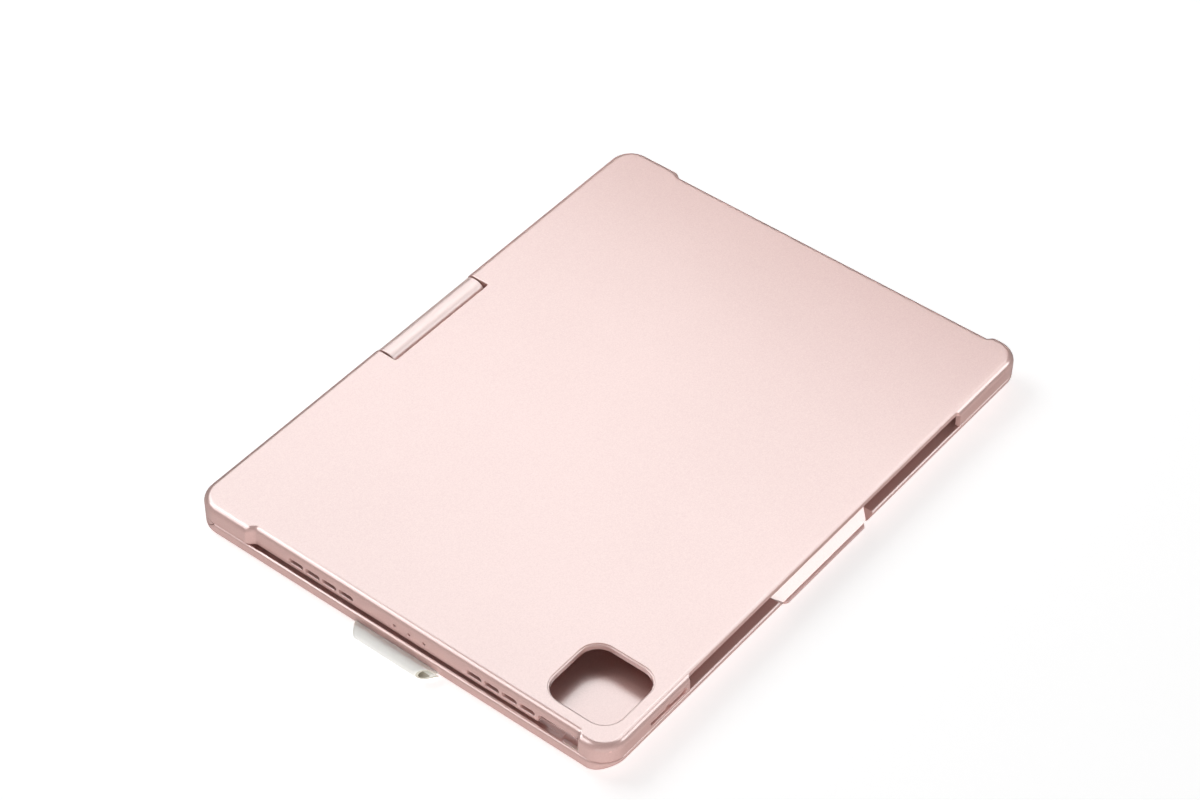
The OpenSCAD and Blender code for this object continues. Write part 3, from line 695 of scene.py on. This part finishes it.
# deck with its openings for keys, touchpad and lights
deck = loft("deck_skin", [[(x, y, z) for x, y in rr(242.9, DECK_D - 0.1, 3, 6, 0, DECK_Y)]
                          for z in (DECK_Z - 1, DECK_Z)])
turn_outwards(deck)
mouth = [(3, 0)] + flare(DECK_Z, 0.15, 1, 3)
holes = [prism_data("z", cx, cy, w + 0.6, d + 0.6, 1.6, mouth, n=5)
         for r, c, cx, cy, w, d in KEYS if (r, c) != (5, UPDOWN)]
cx = [k[2] for k in KEYS if k[:2] == (5, UPDOWN)][0]      # the up and down keys share one opening
holes.append(prism_data("z", cx, ROWS[5][0] - ROW / 2, UNIT - GAP + 0.6, ROW - GAP + 0.6, 1.6, mouth, n=5))
holes.append(prism_data("z", 0, PAD_Y, PAD_W + 0.5, PAD_D + 0.5, 3.2, [(3, 0)] + flare(DECK_Z, 0.3, 1), n=8))
holes += [prism_data("z", x, -13, 1.7, 1.7, 0.85, [(3, 0), (8, 0)], n=6) for x in (100, 104, 108)]
boolean(deck, holes)
piece(deck, "base", "shell", shell, "deck_plate", fix=False)

pad = loft("touchpad_skin", [[(x, y, z) for x, y in rr(PAD_W + 2 * g, PAD_D + 2 * g, 3 + g, 8, 0, PAD_Y)]
                             for z, g in ((4.5, 0), (5.2, 0), (5.33, -0.05), (5.42, -0.17), (5.45, -0.35))])
piece(pad, "touchpad", "touchpad", pad_glass, "touchpad")

# ---------------------------------------------------------------- underside
plate = loft("bottom_plate_skin", [
    [(x, y, z) for x, y in rr(PLATE_W + 2 * g, PLATE_D + 2 * g, 3 + g, 8, 0, PLATE_Y)]
    for z, g in ((1.0, -0.25), (1.07, -0.07), (1.25, 0), (2.0, 0))])
turn_outwards(plate)
seats = [prism_data("z", x, y, 12.2, 12.2, 6.1, [(1.4, 0)] + flare(FOOT_H, 0.2, -1), n=12) for x, y in FEET]
seats += [prism_data("z", x, y, 3.2, 3.2, 1.6, [(1.55, 0)] + flare(FOOT_H, 0.15, -1), n=8) for x, y in SCREWS]
boolean(plate, seats)
piece(plate, "base", "shell", shell, "base_bottom_plate", fix=False)

foot_rings = [(6, 1.4), (6, 0.5), (5.93, 0.25), (5.75, 0.08), (5.45, 0.0), (4.9, 0.0), (4.7, 0.12), (4.2, 0.16),
              (1.5, 0.16)]
feet = [round_data(x, y, foot_rings) for x, y in FEET]
piece(merged("rubber_feet_skin", feet), "base", "rubber", rubber, "rubber_feet")


def screws(places, r, z, shank, node):
    """Pan screws seen from below, with a six-lobed recess."""
    rings = [(r - 0.25, z), (r - 0.07, z + 0.06), (r, z + 0.2), (r, z + 0.5),
             (shank, z + 0.5), (shank, z + 2.1)]
    ob = merged(node + "_skin", [round_data(x, y, rings, 24) for x, y in places])
    turn_outwards(ob)
    lobes = []
    for x, y in places:
        pts = []
        for i in range(36):
            a = 2 * math.pi * i / 36
            q = r * (0.5 + 0.09 * math.cos(6 * a))
            pts.append((x + q * math.cos(a), y + q * math.sin(a)))
        lobes.append(loft_data([[(u, v, z - 1) for u, v in pts], [(u, v, z + 0.32) for u, v in pts]]))
    boolean(ob, lobes)
    piece(ob, "base", "steel", screw_steel, node, fix=False)


screws(SCREWS, 1.5, FOOT_H + 0.05, 0.8, "bottom_screws")
screws([(-15, AXIS_Y), (15, AXIS_Y)], 1.8, FOOT_H + 0.1, 0.9, "knuckle_screws")

bumper_stations = [(RIM_Z - 0.4, 0), (RIM_Z + 0.1, 0), (RIM_Z + 0.2, -0.08), (RIM_Z + 0.25, -0.25)]
bumpers = [prism_data("z", x, y, 1.6, 8, 0.8, bumper_stations, n=6) for x in (-126.2, 126.2) for y in (-80, 76)]
piece(merged("lid_bumpers_skin", bumpers), "base", "soft_clear", soft_pink, "lid_bumpers")

# power switch with a ribbed face and a stem to the board
switch = [prism_data("x", -42, PORT_Z, 3.8, 1.9, 0.5,
                     [(SIDE - 1.1, 0), (SIDE - 0.35, 0), (SIDE - 0.2, -0.12)], n=5)]
switch += [prism_data("x", -42 + 0.7 * i, PORT_Z, 0.3, 1.3, 0.14, [(SIDE - 0.3, 0), (SIDE - 0.15, -0.03)], n=3)
           for i in (-2, -1, 0, 1, 2)]
switch.append(box_data((118, -42.5, 3.45), (SIDE - 1, -41.5, 4.05)))
piece(merged("power_switch_skin", switch), "power_switch", "dark_plastic", dark, "power_switch")

# ---------------------------------------------------------------- stylus loop
LOOP_X, LOOP_Z, LOOP_R, LOOP_T = -131.5, 3.7, 2.7, 0.9     # middle and radius of its round outer edge, sheet


def loop_point(u, outside):
    """Point (x, z) of the loop's sheet at u from 0 to 1 along its section."""
    if outside:
        r, lo, hi = LOOP_R, (-128.0, 1.8), (-128.0, 3.8)
    else:
        r, lo, hi = LOOP_R - LOOP_T, (-128.7, 2.6), (-128.7, 3.05)
    if u < 0.22:
        k = u / 0.22
        return lo[0] + (LOOP_X - lo[0]) * k, lo[1] + (LOOP_Z - r - lo[1]) * smooth(k)
    if u > 0.78:
        k = (1 - u) / 0.22
        return hi[0] + (LOOP_X - hi[0]) * k, hi[1] + (LOOP_Z + r - hi[1]) * smooth(k)
    w = math.radians(270 - 180 * (u - 0.22) / 0.56)
    return LOOP_X + r * math.cos(w), LOOP_Z + r * math.sin(w)


def loop_row(v, outside):
    """The sheet's section at v from 0 to 1 along the loop, whose ends are slanted and rounded."""
    pull = 0.22 * max(0, 1 - min(v, 1 - v) / 0.012)
    row = []
    for i in range(45):
        x, z = loop_point(i / 44, outside)
        out = (-128 - x) / 6.2
        y0, y1 = -21.5 + 6.0 * out, 18 - 4.5 * out
        ox, oz = loop_point(i / 44, not outside)
        row.append((x + (ox - x) * pull, y0 + (y1 - y0) * v, z + (oz - z) * pull))
    return row


LOOP_ROWS = (0, 0.004, 0.012, 0.05, 0.15, 0.3, 0.5, 0.7, 0.85, 0.95, 0.988, 0.996, 1)
sheet = loft_data([loop_row(v, True) + loop_row(v, False)[::-1] for v in LOOP_ROWS])
tab = prism_data("x", -1.75, 2.7, 35.3, 1.0, 0.3, [(-128.6, 0), (-124, 0)], n=3)
loop = merged("stylus_loop_skin", [sheet, tab])
piece(loop, "base", "soft_clear", soft_clear, "stylus_loop", angle=50, weighted=False)
# the inner faces of the loop's round part take the darker colour, as painted shade
loop.data.materials.append(loop_painted_shade)
for poly in loop.data.polygons:
    c = poly.center / MM
    x = c.x - SHIFT
    if -133.6 < x < -128.6 and math.hypot(x - LOOP_X, c.z - LOOP_Z) < LOOP_R - LOOP_T + 0.15:
        poly.material_index = 1

# ---------------------------------------------------------------- finishes of the CAD nodes that stay
FINISH = {steel: ["key_backplate", "hinge_shaft_left", "hinge_shaft_right", "hinge_bracket_left",
                  "hinge_bracket_right", "usb_c_socket"],
          screw_steel: ["hinge_screws"], brass: ["friction_bush_left", "friction_bush_right"],
          film: ["membrane_circuit", "backlight_film"], dome: ["dome_sheet"], foil: ["battery_cells"],
          board: ["control_board", "touchpad_board"], ribbon: ["keyboard_ribbon", "touchpad_cable"],
          pipe: ["indicator_light_pipes"], magnet: ["wake_magnet"]}
for finish, names in FINISH.items():
    for name in names:
        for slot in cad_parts[name].material_slots:
            slot.material = finish

# ---------------------------------------------------------------- table and backdrop
TABLE = 6.0                                    # half the table's width, in m
table_paint = material("pale_floor", (0.93, 0.93, 0.932), (0.925, 0.925, 0.927), rough=0.9, rough2=0.95,
                       scale=6)
floor = bpy.data.objects.new("floor", bpy.data.meshes.new("floor"))
floor.data.from_pydata([(-TABLE, -TABLE, 0), (TABLE, -TABLE, 0), (TABLE, TABLE, 0), (-TABLE, TABLE, 0)], [],
                       [(0, 1, 2, 3)])
floor.data.materials.append(table_paint)
bpy.context.scene.collection.objects.link(floor)

tree = table_paint.node_tree
link = tree.links.new
paint = tree.nodes["Principled BSDF"]
paint.inputs["Emission Color"].default_value = (1, 1, 1, 1)
paint.inputs["Emission Strength"].default_value = 0.68
ray = add_node(tree, "LightPath")
# gloss on the case shows the table darker than it is, as if past the edge of a white table
dim = add_node(tree, "BsdfDiffuse", Color=(0.85, 0.76, 0.74, 1))
seen = add_node(tree, "MixShader")
link(ray.outputs["Is Glossy Ray"], seen.inputs[0])
link(paint.outputs[0], seen.inputs[1])
link(dim.outputs[0], seen.inputs[2])
# the table glows for diffuse rays only, brighter than it looks, so it lights the walls above it like a hidden
# lamp
glow = add_node(tree, "Emission", Strength=1.0)
surface = add_node(tree, "MixShader")
link(ray.outputs["Is Diffuse Ray"], surface.inputs[0])
link(seen.outputs[0], surface.inputs[1])
link(glow.outputs[0], surface.inputs[2])
link(surface.outputs[0], tree.nodes["Material Output"].inputs["Surface"])

world = bpy.data.worlds.new("studio")
bpy.context.scene.world = world
world.use_nodes = True
tree = world.node_tree
link = tree.links.new
background = tree.nodes["Background"]
background.inputs["Color"].default_value = (1.0, 1.0, 1.0, 1)
ray = add_node(tree, "LightPath")
level = add_node(tree, "MapRange", To_Min=0.11, To_Max=0.16)       # what lights surfaces, what gloss shows
link(ray.outputs["Is Glossy Ray"], level.inputs["Value"])
backdrop = add_node(tree, "Mix", B=1.0)        # white above the table's far edge
link(ray.outputs["Is Camera Ray"], backdrop.inputs["Factor"])
link(level.outputs["Result"], backdrop.inputs["A"])
link(backdrop.outputs["Result"], background.inputs["Strength"])


# ---------------------------------------------------------------- lamps
def soft_box(name, azimuth, elevation, distance, width, height, level, diffuse=True, gloss=True, roll=0.0):
    """A rectangular lamp that faces the object; level is its radiance."""
    data = bpy.data.lights.new(name, "AREA")
    data.shape, data.size, data.size_y = "RECTANGLE", width, height
    data.energy = level * math.pi * width * height
    ob = bpy.data.objects.new(name, data)
    bpy.context.scene.collection.objects.link(ob)
    turn = aim(azimuth, elevation, roll)
    ob.matrix_world = Matrix.Translation(turn.col[2] * distance) @ turn.to_4x4()
    ob.visible_diffuse, ob.visible_glossy = diffuse, gloss
    return ob


def table_group(name, lamps):
    """Links the lamps to a new collection that holds the table."""
    group = bpy.data.collections.new(name)
    group.objects.link(floor)
    for lamp in lamps:
        lamp.light_linking.receiver_collection = group
    return group


soft_box("key_box", 188, 47, 1.6, 1.0, 0.8, 2.5)
fill = soft_box("fill_box", -42, 7, 2.0, 2.6, 0.7, 7.0, gloss=False)
# panels that only show in the gloss
soft_box("far_box", 136, 50, 2.0, 1.6, 0.9, 2.18, diffuse=False, roll=-33)
soft_box("top_box", 80, 58, 2.0, 1.1, 0.9, 2.0, diffuse=False)
soft_box("left_box", 222, 46, 2.0, 1.3, 1.4, 2.1, diffuse=False)
soft_box("right_box", 44, 34, 2.0, 1.0, 0.9, 2.9, diffuse=False)
# a wide spot whose soft edge lies along the middle of the lid, so the right half is lit more
spot = bpy.data.objects.new("side_spot", bpy.data.lights.new("side_spot", "SPOT"))
spot.data.energy, spot.data.spot_size, spot.data.spot_blend = 125, math.radians(28), 0.44
spot.data.shadow_soft_size = 0.3
bpy.context.scene.collection.objects.link(spot)
turn = aim(185, 52)
spot.matrix_world = Matrix.Translation(turn.col[2] * 1.6 + Vector((0.43, 0, 0.015))) @ turn.to_4x4()
spot.visible_glossy = False
# a broad lamp from behind, for a soft shadow on the near side
table_box = soft_box("table_box", 150, 55, 2.2, 2.4, 1.8, 0.5, gloss=False)
# the fill and the spot leave the table alone, and the broad lamp lights nothing else
table_group("table_without_fill", (fill, spot)).collection_objects[0].light_linking.link_state = "EXCLUDE"
table_group("table_only", (table_box,))

view = bpy.context.scene.view_settings
view.view_transform, view.look, view.exposure = "Standard", "None", 0.0
